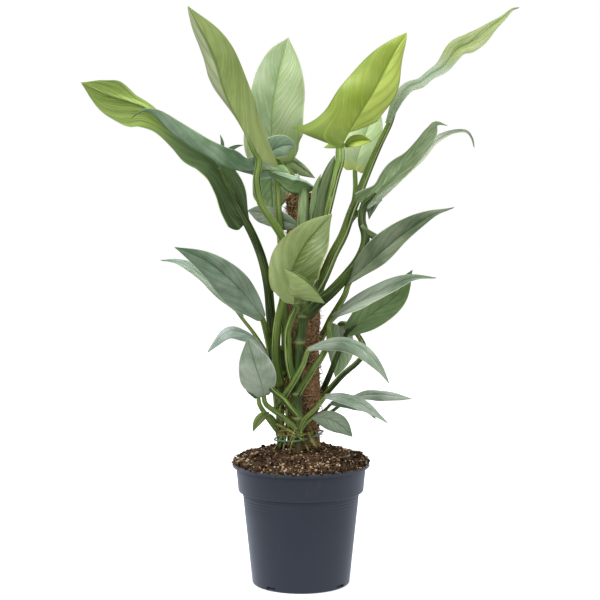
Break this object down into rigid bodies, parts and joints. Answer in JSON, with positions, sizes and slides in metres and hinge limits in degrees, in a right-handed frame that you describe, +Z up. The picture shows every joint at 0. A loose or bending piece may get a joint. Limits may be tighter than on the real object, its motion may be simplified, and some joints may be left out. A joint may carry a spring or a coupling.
{
  "type": "potted silver queen philodendron",
  "caption": "Leafy houseplant with silvery, lance-shaped leaves on stems round a coir pole, in a round plastic nursery pot filled with soil.",
  "frame": {"origin": "middle of the pot's foot, on the floor", "axes": "+Z up the pot and the plant, -Y towards the front of the plant, +X to its right seen from the front"},
  "size_m": [0.5531, 0.2128, 0.7183],
  "materials": {
    "pot_plastic": "smooth slate grey moulded plastic with a soft sheen",
    "soil": "crumbly dark peat with fibres and white perlite",
    "coir": "rough reddish brown coconut fibre",
    "tie": "thin green plastic twist tie",
    "stem": "smooth fresh green, lighter along the ribs",
    "leaf_silver": "smooth silvery blue green with fine veins",
    "leaf_green": "smooth dull green underside with a raised rib",
    "leaf_pale": "smooth pale silver green with fine veins",
    "leaf_olive": "smooth yellowish green with fine veins",
    "leaf_lime": "smooth bright chartreuse with fine veins"
  },
  "bodies": {
    "root": {"pot": "pot_plastic", "soil": "soil", "coir_pole": "coir", "plant_tie": "tie", "stem_front": "stem", "stem_left": "stem", "stem_back": "stem", "leaf_tall_left": "leaf_olive", "leaf_back_tall": "leaf_pale", "leaf_lime": "leaf_lime", "leaf_far_right": "leaf_pale", "leaf_right_upper": "leaf_green", "leaf_right_curled": "leaf_silver", "leaf_right_mid": "leaf_silver", "leaf_right_long": "leaf_silver", "leaf_right_under": "leaf_green", "leaf_back_hanging": "leaf_green", "leaf_arching_right": "leaf_silver", "leaf_low_right": "leaf_silver", "leaf_low_hidden": "leaf_silver", "leaf_low_back": "leaf_silver", "leaf_bottom_right": "leaf_silver", "leaf_left_round": "leaf_silver", "leaf_left_droop": "leaf_green", "leaf_left_behind": "leaf_green", "leaf_left_big": "leaf_silver", "leaf_left_lower": "leaf_silver", "leaf_left_arching": "leaf_silver", "leaf_left_under": "leaf_green", "leaf_left_long": "leaf_silver", "leaf_back_low": "leaf_green", "leaf_back_left": "leaf_silver", "leaf_back_right": "leaf_pale", "leaf_center_cupped": "leaf_olive"}
  },
  "joints": []
}
